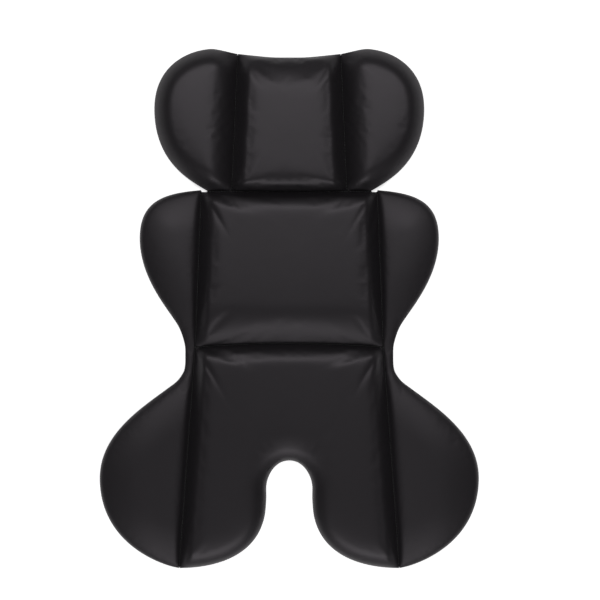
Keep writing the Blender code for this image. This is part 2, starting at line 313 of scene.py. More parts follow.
HEAD_SIDE = fold_of("head_bolster_right_hinge")
BACK_SIDE = fold_of("back_wing_right_hinge")
SEAT_SIDE = fold_of("thigh_wing_right_hinge")
LEFT_SEAT_SIDE = FoldLine(SEAT_SIDE.at * (-1, 1), SEAT_SIDE.along * (-1, 1))
SEAM_Z = JOINTS["waist_hinge"]["pos_m"][2]
HEAD_FOLD_Y = JOINTS["head_hinge"]["pos_m"][1]
WAIST_Y = JOINTS["waist_hinge"]["pos_m"][1]
WAIST_LINE = FoldLine((0.0, WAIST_Y), (1.0, 0.0))
NECK_TOP_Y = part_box("back_wing_right_cover")[0].y
NECK_LOW_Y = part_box("thigh_wing_right_cover")[1].y
SEAT_LOW_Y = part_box("thigh_wing_fold_right")[0].y


def rim(node):
    """The outer edge of a flat piece of the frame: plan points, counter-clockwise."""
    bm = bmesh.new()
    bm.from_mesh(frame["nodes"][node].data)
    bmesh.ops.remove_doubles(bm, verts=bm.verts, dist=SAME_PLACE)
    after = {}
    for face in bm.faces:
        if abs(face.normal.z) > UPRIGHT:
            continue
        lowest = min(vert.co.z for vert in face.verts)
        for loop in face.loops:
            start, end = loop.vert, loop.link_loop_next.vert
            if max(start.co.z, end.co.z) - lowest < SAME_PLACE:
                after[start.index] = end.index
    places = [(vert.co.x, vert.co.y) for vert in bm.verts]
    bm.free()
    first = next(iter(after))
    chain = [first]
    while after[chain[-1]] != first:
        chain.append(after[chain[-1]])
    return [np.array(places[index]) for index in chain]


def free_run(node, folds):
    """The stretch of a piece's rim that lies on none of the folds, with the two fold points at its ends."""
    points = rim(node)
    on_fold = [min(fold.off(point) for fold in folds) < NEAR_FOLD for point in points]
    start = next(i for i in range(len(points)) if on_fold[i - 1] and not on_fold[i])
    points = points[start - 1:] + points[:start - 1] if start else [points[-1]] + points[:-1]
    on_fold = on_fold[start - 1:] + on_fold[:start - 1] if start else [on_fold[-1]] + on_fold[:-1]
    end = next(i for i in range(1, len(points)) if on_fold[i])
    return points[:end + 1]


def smooth_through(points, step):
    """Points about one step apart, on a smooth curve through the given ones."""
    points = np.array(points)
    longer = np.vstack([2 * points[0] - points[1], points, 2 * points[-1] - points[-2]])
    found = [points[0]]
    for before, start, end, after in zip(longer, longer[1:], longer[2:], longer[3:]):
        first, middle, last = (np.linalg.norm(gap) ** 0.5
                               for gap in (start - before, end - start, after - end))
        leave = ((start - before) / first - (end - before) / (first + middle)
                 + (end - start) / middle) * middle
        arrive = ((end - start) / middle - (after - start) / (middle + last)
                  + (after - end) / last) * middle
        count = max(1, round(np.linalg.norm(end - start) / step))
        for i in range(1, count + 1):
            t = i / count
            found.append((2 * t ** 3 - 3 * t ** 2 + 1) * start + (t ** 3 - 2 * t ** 2 + t) * leave
                         + (3 * t ** 2 - 2 * t ** 3) * end + (t ** 3 - t ** 2) * arrive)
    return np.array(found)


def straight(start, end, step):
    count = max(1, round(float(np.linalg.norm(np.array(end) - start)) / step))
    return np.linspace(start, end, count + 1)


def bowed(start, end, rise, step):
    """A stretch across the middle that bows towards +Y by the rise."""
    points = straight(start, end, step)
    share = np.linspace(-1.0, 1.0, len(points))
    points[:, 1] += rise * (1.0 - share ** 2)
    return points


def turned_over(points):
    """The same stretch on the -X side, still counter-clockwise."""
    return np.array(points)[::-1] * (-1.0, 1.0)


class Edge:
    """One stretch of a cell's outline, and how the pad rounds over beside it.

    The surface climbs a small lip straight from the seam, then rolls on to the crown. The power makes a
    turned edge blunt, and gathers says how much the cloth puckers there.
    """

    def __init__(self, points, roll, lip=0.0, lip_width=0.003, power=1.0, gathers=1.0, hemmed=False):
        self.points = np.array(points)
        self.roll = roll
        self.lip = lip
        self.lip_width = lip_width
        self.power = power
        self.gathers = gathers
        self.hemmed = hemmed

    def turned_over(self):
        return Edge(turned_over(self.points), self.roll, self.lip, self.lip_width, self.power, self.gathers,
                    self.hemmed)

    def climb(self, distance):
        share = np.clip(distance / self.roll, 0.0, 1.0)
        rolled = np.sin(share * math.pi / 2) ** self.power
        return self.lip * (1.0 - np.exp(-distance / self.lip_width)) + (1.0 - self.lip) * rolled


def outline(edges):
    """The corner-to-corner loop that a cell's stretches make."""
    return np.vstack([edge.points[:-1] for edge in edges])


def closed(loop):
    return np.vstack([loop, loop[:1]])


def along_and_off(points, line):
    """For each plan point, its distance from a line of points and how far along the line that is."""
    start = line[:-1]
    span = line[1:] - start
    length = np.linalg.norm(span, axis=1)
    passed = np.concatenate([[0.0], np.cumsum(length)[:-1]])
    gap = points[:, None, :] - start[None]
    share = np.clip((gap * span).sum(2) / (length ** 2), 0.0, 1.0)
    off = np.linalg.norm(gap - share[..., None] * span, axis=2)
    nearest = off.argmin(axis=1)
    rows = np.arange(len(points))
    return off[rows, nearest], passed[nearest] + share[rows, nearest] * length[nearest]


def inside(points, loop):
    """Which plan points lie inside a closed loop."""
    start = loop
    end = np.roll(loop, -1, axis=0)
    x, y = points[:, 0:1], points[:, 1:2]
    crosses = (start[:, 1] > y) != (end[:, 1] > y)
    rise = np.where(end[:, 1] == start[:, 1], 1.0, end[:, 1] - start[:, 1])
    reached = start[:, 0] + (y - start[:, 1]) * (end[:, 0] - start[:, 0]) / rise
    return (crosses & (x < reached)).sum(axis=1) % 2 == 1


def kept_apart(points, gap):
    """The points that keep the gap to those kept before them."""
    kept = []
    for point in points:
        near = kept[-RECENT_POINTS:]
        if not near or np.min(np.linalg.norm(np.array(near) - point, axis=1)) >= gap:
            kept.append(point)
    return kept


def plan_points(loop, step):
    """The points inside a cell: rings beside its edge, then an even triangular grid."""
    run = np.roll(loop, -1, axis=0) - np.roll(loop, 1, axis=0)
    inwards = np.stack([-run[:, 1], run[:, 0]], axis=1) / np.linalg.norm(run, axis=1)[:, None]
    taken = []
    for depth in RING_DEPTHS:
        ring = loop + inwards * depth
        ring = ring[inside(ring, loop)]
        ring = ring[along_and_off(ring, closed(loop))[0] > depth * 0.9]
        taken += kept_apart(list(ring), max(step * 0.45, depth * 0.35))
    low, high = loop.min(axis=0), loop.max(axis=0)
    rows = []
    for row, y in enumerate(np.arange(low[1], high[1], step * math.sqrt(0.75))):
        xs = np.arange(low[0] + (row % 2) * step / 2, high[0], step)
        rows.append(np.stack([xs, np.full(len(xs), y)], axis=1))
    grid = np.vstack(rows)
    grid = grid[inside(grid, loop)]
    grid = grid[along_and_off(grid, closed(loop))[0] > RING_DEPTHS[-1] + step * 0.55]
    return np.array(taken + list(grid))


def ripple(places, lengths, seed):
    """A smooth uneven wave along a seam, from a few waves with drawn starts."""
    draw = np.random.default_rng(seed)
    total = np.zeros(len(places))
    for length in lengths:
        total += np.sin(places * 2 * math.pi / length + draw.uniform(0, 2 * math.pi))
    return total / len(lengths)


def pad(name, edges, crown, seed):
    """A closed pad over a cell: a front cover and a rear lining that share the seam round the edge."""
    sizes = settings().pads
    loop = outline(edges)
    count = len(loop)
    points = np.vstack([loop, plan_points(loop, sizes.mesh_step)])
    flat = [Vector(point) for point in points]
    _, _, triangles, origins, _, _ = delaunay_2d_cdt(flat, [], [list(range(count))], INSIDE_ONLY,
                                                     MERGE_DISTANCE)
    triangles = [[origins[corner][0] for corner in triangle] for triangle in triangles]

    climb = np.ones(len(points))
    gathers = np.zeros(len(points))
    for k, edge in enumerate(edges):
        off, along = along_and_off(points, edge.points)
        climb *= edge.climb(off)
        wave = ripple(along, GATHER_LENGTHS, seed * 31 + k)
        gathers += edge.gathers * wave * np.exp(-off / GATHER_REACH) * off / (off + GATHER_START)
    height = crown(points) * climb + sizes.pucker * gathers
    off, _ = along_and_off(points, closed(loop))
    drop = SEAM_Z * np.sin(np.clip(off / sizes.rear_roll, 0.0, 1.0) * math.pi / 2)
    height[:count] = 0.0
    drop[:count] = 0.0

    bm = bmesh.new()
    crease = bm.edges.layers.float.new("crease_edge")
    corner = bm.verts.layers.float.new("crease_vert")
    rise_share = bm.verts.layers.float.new("rise")
    front = [bm.verts.new((x, y, SEAM_Z + h)) for (x, y), h in zip(points, height)]
    rear = front[:count] + [bm.verts.new((x, y, SEAM_Z - d))
                            for (x, y), d in zip(points[count:], drop[count:])]
    for a, b, c in triangles:
        bm.faces.new((front[a], front[b], front[c]))
        bm.faces.new((rear[a], rear[c], rear[b])).material_index = 1
    for i in range(count):
        bm.edges.get((front[i], front[(i + 1) % count]))[crease] = 1.0
    # The climb share, kept as the rise attribute: the cover is painted lighter where it is high and painted
    # darker, as shade, down the rolls to the seams
    for vert, share in zip(front, climb):
        vert[rise_share] = share
    at = 0
    for edge in edges:
        front[at][corner] = 1.0
        at += len(edge.points) - 1
    bm.normal_update()
    mesh = bpy.data.meshes.new(name)
    bm.to_mesh(mesh)
    bm.free()
    mesh.shade_smooth()
    obj = linked(name, mesh)
    obj.data.materials.append(cover_fabric())
    obj.data.materials.append(lining_fabric())
    obj.vertex_groups.new(name="seam").add(list(range(count)), 1.0, "REPLACE")
    return obj


def places_of(mesh):
    found = np.empty(len(mesh.vertices) * 3, np.float32)
    mesh.vertices.foreach_get("co", found)
    return found.reshape(-1, 3).astype(float)


def plump(obj, fullness):
    """Blow the pad up as cloth that is held along its seam, and keep the shape that it takes."""
    sizes = settings().pads
    scene = bpy.context.scene
    start = places_of(obj.data)
    cloth = obj.modifiers.new("Cloth", "CLOTH")
    for key, value in CLOTH.items():
        setattr(cloth.settings, key, value)
    cloth.settings.uniform_pressure_force = sizes.puff
    cloth.settings.shrink_min = -sizes.spare_cloth
    cloth.settings.effector_weights.gravity = 0
    cloth.collision_settings.use_collision = False
    cloth.point_cache.frame_start = 1
    cloth.point_cache.frame_end = CLOTH_FRAMES
    for step in range(1, CLOTH_FRAMES + 1):
        scene.frame_set(step)
    blown = places_of(obj.evaluated_get(bpy.context.evaluated_depsgraph_get()).data)
    obj.modifiers.remove(cloth)
    scene.frame_set(1)
    if not np.isfinite(blown).all():
        raise RuntimeError(f"the cloth of {obj.name} has a point that isn't finite")
    moved = blown - start
    length = np.maximum(np.linalg.norm(moved, axis=1), 1e-9)
    limit = sizes.puff_limit * fullness
    moved *= (limit * np.tanh(length / limit) / length)[:, None]
    kept = start + moved
    kept[:, 2] = np.maximum(kept[:, 2], FLOOR_CLEARANCE)
    obj.data.vertices.foreach_set("co", kept.ravel())
    obj.data.update()


def refine(obj):
    """One round of subdivision, made part of the mesh."""
    round_off = obj.modifiers.new("Refine", "SUBSURF")
    round_off.levels = 1
    round_off.render_levels = 1
    made_plain(obj)


def made_plain(obj):
    """Turn an object's live modifiers into its plain mesh."""
    graph = bpy.context.evaluated_depsgraph_get()
    mesh = bpy.data.meshes.new_from_object(obj.evaluated_get(graph), depsgraph=graph)
    mesh.name = obj.name
    obj.modifiers.clear()
    old = obj.data
    obj.data = mesh
    bpy.data.meshes.remove(old)
    obj.vertex_groups.clear()


def cell_nodes(cell):
    return [f"{cell}_{layer}" for layer in LAYERS]


def even(height):
    return lambda points: np.full(len(points), height)


# Shader arithmetic.

class Wire:
    """A shader socket that can stand in Python arithmetic. Each operation adds its Math node."""

    def __init__(self, graph, socket):
        self.graph = graph
        self.socket = socket

    def maths(self, operation, first, second=0.0):
        return self.graph.add("ShaderNodeMath", {"operation": operation}, {0: first, 1: second})

    def __add__(self, other):
        return self.maths("ADD", self, other)

    def __radd__(self, other):
        return self.maths("ADD", other, self)

    def __sub__(self, other):
        return self.maths("SUBTRACT", self, other)

    def __rsub__(self, other):
        return self.maths("SUBTRACT", other, self)

    def __mul__(self, other):
        return self.maths("MULTIPLY", self, other)

    def __rmul__(self, other):
        return self.maths("MULTIPLY", other, self)

    def sine(self):
        return self.maths("SINE", self)

    def within(self):
        """The value held between 0 and 1."""
        return self.graph.add("ShaderNodeClamp", {}, {"Value": self})


class Graph:
    """A material's node tree."""

    def __init__(self, material):
        self.tree = material.node_tree
        self.shader = self.tree.nodes["Principled BSDF"]

    def add(self, kind, options, inputs, output=0):
        """Add a node: its options are set first, then the values or links of its sockets."""
        node = self.tree.nodes.new(kind)
        for key, value in options.items():
            setattr(node, key, value)
        for key, value in inputs.items():
            self.feed(node.inputs[key], value)
        return Wire(self, node.outputs[output])

    def feed(self, socket, value):
        if isinstance(value, Wire):
            self.tree.links.new(value.socket, socket)
        else:
            socket.default_value = value

    def place(self):
        """The point on the piece, as a vector, and its three parts."""
        point = self.add("ShaderNodeTexCoord", {}, {}, "Object")
        parts = self.tree.nodes.new("ShaderNodeSeparateXYZ")
        self.feed(parts.inputs[0], point)
        return point, [Wire(self, output) for output in parts.outputs]

    def noise(self, point, scale, detail=2.0, roughness=0.5):
        return self.add("ShaderNodeTexNoise", {}, {"Vector": point, "Scale": scale, "Detail": detail,
                                                   "Roughness": roughness})

    def stretched(self, point, scale):
        return self.add("ShaderNodeMapping", {}, {"Vector": point, "Scale": scale})

    def blend(self, share, first, second):
        node = self.tree.nodes.new("ShaderNodeMix")
        node.data_type = "RGBA"
        self.feed(node.inputs["Factor"], share)
        self.feed(node.inputs[6], (*first, 1.0))
        self.feed(node.inputs[7], (*second, 1.0))
        return Wire(self, node.outputs[2])

    def bump(self, height, distance, strength, below=None):
        inputs = {"Height": height, "Distance": distance, "Strength": strength}
        if below is not None:
            inputs["Normal"] = below
        return self.add("ShaderNodeBump", {}, inputs)


def new_material(name):
    """A fresh material, or the one already made; the second value says whether it is new."""
    found = bpy.data.materials.get(name)
    if found is not None:
        return found, False
    material = bpy.data.materials.new(name)
    material.use_nodes = True
    return material, True


def cover_fabric():
    """Smooth, fine, near-black woven cloth with a satin face."""
    material, fresh = new_material("satin_cover_cloth")
    if not fresh:
        return material
    colours = settings().colours
    graph = Graph(material)
    point, (x, y, z) = graph.place()
    turns = 2 * math.pi / WEAVE_PITCH
    right_hand = ((x + y + z * 0.7) * turns).sine()
    left_hand = ((x - y + z * 0.7) * turns).sine()
    weave = right_hand * left_hand * 0.5 + 0.5
    fuzz = graph.noise(point, 850.0, 2.0)
    drape = graph.noise(point, 21.0, 3.0, 0.45)
    nap = graph.noise(graph.stretched(point, (9.0, 4.0, 9.0)), 1.0, 2.0)
    slub = graph.noise(graph.stretched(point, (60.0, 900.0, 200.0)), 1.0, 1.0)
    rise = graph.add("ShaderNodeAttribute", {"attribute_name": "rise"}, {}, "Fac")
    # Tone: random nap, weave and slub, and painted light from the rise, lighter on the crowns and painted
    # shade down the rolls into the seams
    tone = ((nap - 0.5) * 0.9 + (weave - 0.5) * 0.22 + (slub - 0.5) * 0.30 + rise * 0.35 + 0.18).within()
    graph.feed(graph.shader.inputs["Base Color"], graph.blend(tone, colours.cover, colours.cover_nap_and_painted_crown))
    graph.feed(graph.shader.inputs["Roughness"],
               0.56 + (fuzz - 0.5) * 0.06 + (nap - 0.5) * 0.05 - rise * 0.11)
    soft = graph.bump(drape, 0.0012, 0.25)
    fine = graph.bump(weave * 0.6 + fuzz * 0.4 + slub * 0.25, 0.00006, 0.22, soft)
    graph.feed(graph.shader.inputs["Normal"], fine)
    graph.shader.inputs["Sheen Weight"].default_value = 0.06
    graph.shader.inputs["Sheen Roughness"].default_value = 0.42
    graph.shader.inputs["Sheen Tint"].default_value = (0.80, 0.76, 0.82, 1.0)
    graph.shader.inputs["Specular IOR Level"].default_value = 0.45
    graph.shader.inputs["Specular Tint"].default_value = (1.0, 0.93, 1.0, 1.0)
    return material


def lining_fabric():
    """Plain matt knit on the rear, with its ribs running from head to seat."""
    material, fresh = new_material("ribbed_lining_cloth")
    if not fresh:
        return material
    colours = settings().colours
    graph = Graph(material)
    point, (x, y, z) = graph.place()
    rib = (x * (2 * math.pi / RIB_PITCH)).sine() * 0.5 + 0.5
    loop = ((y + z) * (4 * math.pi / RIB_PITCH)).sine() * 0.5 + 0.5
    fuzz = graph.noise(point, 700.0, 3.0)
    drape = graph.noise(point, 26.0, 3.0)
    tone = (rib * 0.35 + loop * 0.15 + (drape - 0.5) * 0.7 + fuzz * 0.3).within()
    darker = tuple(part * 0.55 for part in colours.lining)
    graph.feed(graph.shader.inputs["Base Color"], graph.blend(tone, darker, colours.lining))
    graph.feed(graph.shader.inputs["Roughness"], 0.80 + (fuzz - 0.5) * 0.15)
    soft = graph.bump(drape, 0.0015, 0.25)
    graph.feed(graph.shader.inputs["Normal"],
               graph.bump(rib * 0.7 + loop * 0.3 + fuzz * 0.3, 0.00020, 0.45, soft))
    graph.shader.inputs["Sheen Weight"].default_value = 0.15
    graph.shader.inputs["Sheen Roughness"].default_value = 0.5
    return material


def seam_shade_fabric():
    """The cover's cloth where it is rolled and pressed into a fold: painted darker as shade in the fold, and
    flatter.
    """
    material, fresh = new_material("gathered_seam_cloth")
    if not fresh:
        return material
    colours = settings().colours
    graph = Graph(material)
    point, _ = graph.place()
    fuzz = graph.noise(point, 900.0, 2.0)
    fold = graph.noise(point, 140.0, 2.0)
    tone = (fold * 0.6 + fuzz * 0.4 - 0.2).within()
    # Painted shade: the cloth in the fold goes down to about a third of the cover's colour
    darker = tuple(part * 0.35 for part in colours.cover)
    graph.feed(graph.shader.inputs["Base Color"], graph.blend(tone, darker, colours.cover))
    graph.feed(graph.shader.inputs["Roughness"], 0.68 + (fuzz - 0.5) * 0.16)
    graph.feed(graph.shader.inputs["Normal"], graph.bump(fold * 0.7 + fuzz * 0.3, 0.0003, 0.4))
    graph.shader.inputs["Specular IOR Level"].default_value = 0.2
    return material


def sewing_thread():
    """Twisted polyester thread."""
    material, fresh = new_material("sewing_thread")
    if not fresh:
        return material
    colours = settings().colours
    graph = Graph(material)
    point, (x, y, z) = graph.place()
    ply = ((x + y * 1.3 + z * 2.0) * (2 * math.pi / PLY_PITCH)).sine() * 0.5 + 0.5
    fuzz = graph.noise(point, 1500.0, 2.0)
    darker = tuple(part * 0.5 for part in colours.thread)
    graph.feed(graph.shader.inputs["Base Color"],
               graph.blend((ply * 0.6 + fuzz * 0.4).within(), darker, colours.thread))
    graph.feed(graph.shader.inputs["Roughness"], 0.42 + (fuzz - 0.5) * 0.2)
    graph.feed(graph.shader.inputs["Normal"], graph.bump(ply, 0.00008, 0.5))
    graph.shader.inputs["Sheen Weight"].default_value = 0.1
    return material


def backdrop_paper():
    """Plain pale floor with the faintest mottle."""
    material, fresh = new_material("backdrop_paper")
    if not fresh:
        return material
    scene = settings()
    graph = Graph(material)
    point, _ = graph.place()
    mottle = graph.noise(point, 5.0, 3.0)
    paler = tuple(min(1.0, part * 1.03) for part in scene.colours.floor)
    graph.feed(graph.shader.inputs["Base Color"], graph.blend(mottle, scene.colours.floor, paler))
    graph.feed(graph.shader.inputs["Roughness"], 0.85 + (mottle - 0.5) * 0.1)
    graph.shader.inputs["Emission Color"].default_value = (1.0, 1.0, 1.0, 1.0)
    graph.shader.inputs["Emission Strength"].default_value = scene.studio.floor_glow
    return material


# Stitching, as trees of Geometry Nodes.

class Tree:
    """A Geometry Nodes tree under construction."""

    def __init__(self, name, inputs):
        self.group = bpy.data.node_groups.new(name, "GeometryNodeTree")
        self.group.interface.new_socket("Path", in_out="INPUT", socket_type="NodeSocketGeometry")
        self.ids = {}
        for title, kind, default in inputs:
            socket = self.group.interface.new_socket(title, in_out="INPUT", socket_type=kind)
            if default is not None:
                socket.default_value = default
            self.ids[title] = socket.identifier
        self.group.interface.new_socket("Geometry", in_out="OUTPUT", socket_type="NodeSocketGeometry")
        self.given = self.group.nodes.new("NodeGroupInput").outputs
        self.result = self.group.nodes.new("NodeGroupOutput").inputs[0]

    def add(self, kind, options, inputs, output=0):
        node = self.group.nodes.new(kind)
        for key, value in options.items():
            setattr(node, key, value)
        for key, value in inputs.items():
            if isinstance(value, bpy.types.NodeSocket):
                self.group.links.new(value, node.inputs[key])
            else:
                node.inputs[key].default_value = value
        return node.outputs[output]

    def join(self, parts):
        node = self.group.nodes.new("GeometryNodeJoinGeometry")
        for part in parts:
            self.group.links.new(part, node.inputs[0])
        return node.outputs[0]


STITCH_INPUTS = (
    ("Pitch", "NodeSocketFloat", 0.004),
    ("Stitch length", "NodeSocketFloat", 0.003),
    ("Stitch width", "NodeSocketFloat", 0.0006),
    ("Thread thickness", "NodeSocketFloat", 0.0006),
    ("Lift", "NodeSocketFloat", 0.0),
    ("Thread", "NodeSocketMaterial", None),
)


def stitch_tree():
    """A row of stitches: the path is cut at the pitch, and a rounded stitch is laid along it at each cut."""
    found = bpy.data.node_groups.get("Stitch row")
    if found is not None:
        return found
    tree = Tree("Stitch row", STITCH_INPUTS)
    given = tree.given
    curve = tree.add("GeometryNodeMeshToCurve", {}, {"Mesh": given["Path"]})
    cuts = tree.add("GeometryNodeResampleCurve", {"mode": "LENGTH"},
                    {"Curve": curve, "Length": given["Pitch"]})
    lift = tree.add("ShaderNodeCombineXYZ", {}, {"Z": given["Lift"]})
    raised = tree.add("GeometryNodeSetPosition", {}, {"Geometry": cuts, "Offset": lift})
    tangent = tree.add("GeometryNodeInputTangent", {}, {})
    turn = tree.add("FunctionNodeAlignRotationToVector", {"axis": "X"}, {"Vector": tangent})
    stitch = tree.add("GeometryNodeMeshUVSphere", {}, {"Segments": 8, "Rings": 6, "Radius": 0.5})
    size = tree.add("ShaderNodeCombineXYZ", {}, {"X": given["Stitch length"], "Y": given["Stitch width"],
                                                 "Z": given["Thread thickness"]})
    laid = tree.add("GeometryNodeInstanceOnPoints", {},
                    {"Points": raised, "Instance": stitch, "Rotation": turn, "Scale": size})
    solid = tree.add("GeometryNodeRealizeInstances", {}, {"Geometry": laid})
    smooth = tree.add("GeometryNodeSetShadeSmooth", {}, {"Geometry": solid})
    finished = tree.add("GeometryNodeSetMaterial", {}, {"Geometry": smooth, "Material": given["Thread"]})
    tree.group.links.new(finished, tree.result)
    return tree.group


SEAM_INPUTS = STITCH_INPUTS + (
    ("Roll radius", "NodeSocketFloat", 0.001),
    ("Seam cloth", "NodeSocketMaterial", None),
)


def seam_tree():
    """A sewn fold: a roll of pressed cloth along the path, with a row of stitches on its front and rear."""
    found = bpy.data.node_groups.get("Sewn fold")
    if found is not None:
        return found
    tree = Tree("Sewn fold", SEAM_INPUTS)
    given = tree.given
    curve = tree.add("GeometryNodeMeshToCurve", {}, {"Mesh": given["Path"]})
    ring = tree.add("GeometryNodeCurvePrimitiveCircle", {},
                    {"Resolution": 10, "Radius": given["Roll radius"]})
    roll = tree.add("GeometryNodeCurveToMesh", {},
                    {"Curve": curve, "Profile Curve": ring, "Fill Caps": True})
    smooth = tree.add("GeometryNodeSetShadeSmooth", {}, {"Geometry": roll})
    cloth = tree.add("GeometryNodeSetMaterial", {}, {"Geometry": smooth, "Material": given["Seam cloth"]})
    lowered = tree.add("ShaderNodeMath", {"operation": "MULTIPLY"}, {0: given["Lift"], 1: -1.0})
    rows = [cloth]
    for lift in (given["Lift"], lowered):
        node = tree.group.nodes.new("GeometryNodeGroup")
        node.node_tree = stitch_tree()
        tree.group.links.new(given["Path"], node.inputs["Path"])
        for title, _, _ in STITCH_INPUTS:
            tree.group.links.new(lift if title == "Lift" else given[title], node.inputs[title])
        rows.append(node.outputs[0])
    tree.group.links.new(tree.join(rows), tree.result)
    return tree.group


def laid_along(name, runs, group, values):
    """A plain mesh made by a tree along runs of points."""
    mesh = bpy.data.meshes.new(name)
    verts, edges = [], []
    for run in runs:
        first = len(verts)
        verts += [tuple(point) for point in run]
        edges += [(first + i, first + i + 1) for i in range(len(run) - 1)]
    mesh.from_pydata(verts, edges, [])
    obj = linked(name, mesh)
    modifier = obj.modifiers.new("Sewing", "NODES")
    modifier.node_group = group
    for item in group.interface.items_tree:
        if item.in_out == "INPUT" and item.name in values:
            modifier[item.identifier] = values[item.name]
    made_plain(obj)
    return obj


# Cells. All are laid out on the +X side or across the middle, and the -X side is turned over.

def edge_spacing():
    """The step between points along an edge, and the gap that a pad keeps from a fold."""
    sizes = settings().pads
    return sizes.mesh_step * EDGE_STEP_SHARE, sizes.fold_gap


def on_side(edges, sign):
    """A cell's stretches as they lie on the +X or the -X side."""
    return edges if sign > 0 else [edge.turned_over() for edge in reversed(edges)]


def head_pad_edges():
    step, gap = edge_spacing()
    top = rim("head_panel_cover")
    high = max(point[1] for point in top)
    middle = min((point for point in top if point[1] > HEAD_SIDE.at[1]), key=lambda point: abs(point[0]))
    low_right = HEAD_SIDE.point(HEAD_FOLD_Y + gap, -gap)
    high_right = HEAD_SIDE.point(high, -gap)
    halfway = (high_right + 2 * middle) / 3 - (0.0, HEAD_TOP_SAG)
    half_back = (high_right * (-1, 1) + 2 * middle) / 3 - (0.0, HEAD_TOP_SAG)
    across = smooth_through([high_right, halfway, middle, half_back, high_right * (-1, 1)], step)
    side = Edge(straight(low_right, high_right, step), roll=0.018, lip=0.10)
    bottom = Edge(straight(low_right * (-1, 1), low_right, step), roll=0.0120, lip=0.32, lip_width=0.0022,
                  gathers=0.3)
    return [bottom, side, Edge(across, roll=0.030, power=0.65, hemmed=True), side.turned_over()]


def bolster_edges():
    """The head pillow's side lobe on the +X side."""
    step, gap = edge_spacing()
    run = free_run("head_bolster_right_cover", [HEAD_SIDE])
    low = HEAD_SIDE.point(HEAD_FOLD_Y + gap, gap)
    high = HEAD_SIDE.point(run[-1][1], gap)
    join = run[1]
    return [
        Edge(straight(low, join, step), roll=0.0135, lip=0.10, hemmed=True),
        Edge(smooth_through(run[1:-1] + [high], step), roll=0.026, power=0.80, hemmed=True),
        Edge(straight(high, low, step), roll=0.030, lip=0.10),
    ]


def back_pad_edges():
    step, gap = edge_spacing()
    arch = settings().pads.waist_arch
    low = BACK_SIDE.point(WAIST_Y + gap, -gap)
    high = BACK_SIDE.point(HEAD_FOLD_Y - gap, -gap)
    side = Edge(straight(low, high, step), roll=0.018)
    return [
        Edge(bowed(low * (-1, 1), low, arch, step), roll=0.050, power=0.62, gathers=0.3),
        side,
        Edge(straight(high, high * (-1, 1), step), roll=0.014, lip=0.35),
        side.turned_over(),
    ]


def seat_pad_edges():
    step, gap = edge_spacing()
    arch = settings().pads.waist_arch
    run = free_run("seat_panel_cover", [SEAT_SIDE, LEFT_SEAT_SIDE, WAIST_LINE])
    low = SEAT_SIDE.point(run[-1][1], -gap)
    high = BACK_SIDE.point(WAIST_Y - gap, -gap)
    side = Edge(straight(low, high, step), roll=0.016, lip=0.10)
    lobes = smooth_through([low * (-1, 1)] + run[1:-1] + [low], step)
    return [
        Edge(lobes, roll=0.022, lip=0.35, lip_width=0.0024, gathers=0.6, hemmed=True),
        side,
        Edge(bowed(high, high * (-1, 1), arch, step), roll=0.013, lip=0.30),
        side.turned_over(),
    ]


def side_panel_edges():
    """Wing, neck and thigh wing of the +X side as one cut of cloth."""
    step, gap = edge_spacing()
    thigh = free_run("thigh_wing_right_cover", [SEAT_SIDE])
    wing = free_run("back_wing_right_cover", [BACK_SIDE])
    neck = free_run("neck_right", [SEAT_SIDE, BACK_SIDE])
    low = SEAT_SIDE.point(thigh[0][1], gap)
    waist = BACK_SIDE.point(WAIST_Y, gap)
    high = BACK_SIDE.point(wing[-1][1], gap)
    outer = smooth_through([low] + thigh[1:-1] + neck[2:-2] + wing[1:-1] + [high], step)
    return [
        Edge(outer, roll=0.050, lip=0.40, lip_width=0.0024, gathers=0.3, hemmed=True),
        Edge(np.vstack([straight(high, waist, step), straight(waist, low, step)[1:]]),
             roll=0.070, lip=0.62, lip_width=0.0022, gathers=0.15),
    ]


def side_height(points):
    """Height of the side panels: full at the wings, flattened at the waist."""
    sizes = settings().pads
    away = (points[:, 1] - (WAIST_Y + (NECK_TOP_Y + NECK_LOW_Y) / 2) / 2) / sizes.neck_reach
    share = 1.0 - (1.0 - sizes.neck_share) * np.exp(-away ** 2)
    return sizes.side_crown * share


def stuffed(name, edges, crown, seed, fullness=1.0):
    obj = pad(name, edges, crown, settings().pads.seed + seed)
    plump(obj, fullness)
    refine(obj)
    return obj


def part_between(whole, name, low, high):
    """The stretch of a side panel between two heights, closed where it is cut."""
    bm = bmesh.new()
    bm.from_mesh(whole.data)
    for y, facing in ((low, -1.0), (high, 1.0)):
        if y is None:
            continue
        everything = bm.verts[:] + bm.edges[:] + bm.faces[:]
        cut = bmesh.ops.bisect_plane(bm, geom=everything, dist=MERGE_DISTANCE, plane_co=(0.0, y, 0.0),
                                     plane_no=(0.0, facing, 0.0), clear_outer=True)
        rim_edges = [item for item in cut["geom_cut"] if isinstance(item, bmesh.types.BMEdge)]
        caps = bmesh.ops.triangle_fill(bm, edges=rim_edges, use_beauty=True, normal=(0.0, facing, 0.0))
        for item in caps["geom"]:
            if isinstance(item, bmesh.types.BMFace):
                item.smooth = False
                item.material_index = 0
    bmesh.ops.recalc_face_normals(bm, faces=bm.faces)
    mesh = bpy.data.meshes.new(name)
    bm.to_mesh(mesh)
    bm.free()
    for material in whole.data.materials:
        mesh.materials.append(material)
    borrow_normals(mesh, whole.data)
    return linked(name, mesh)


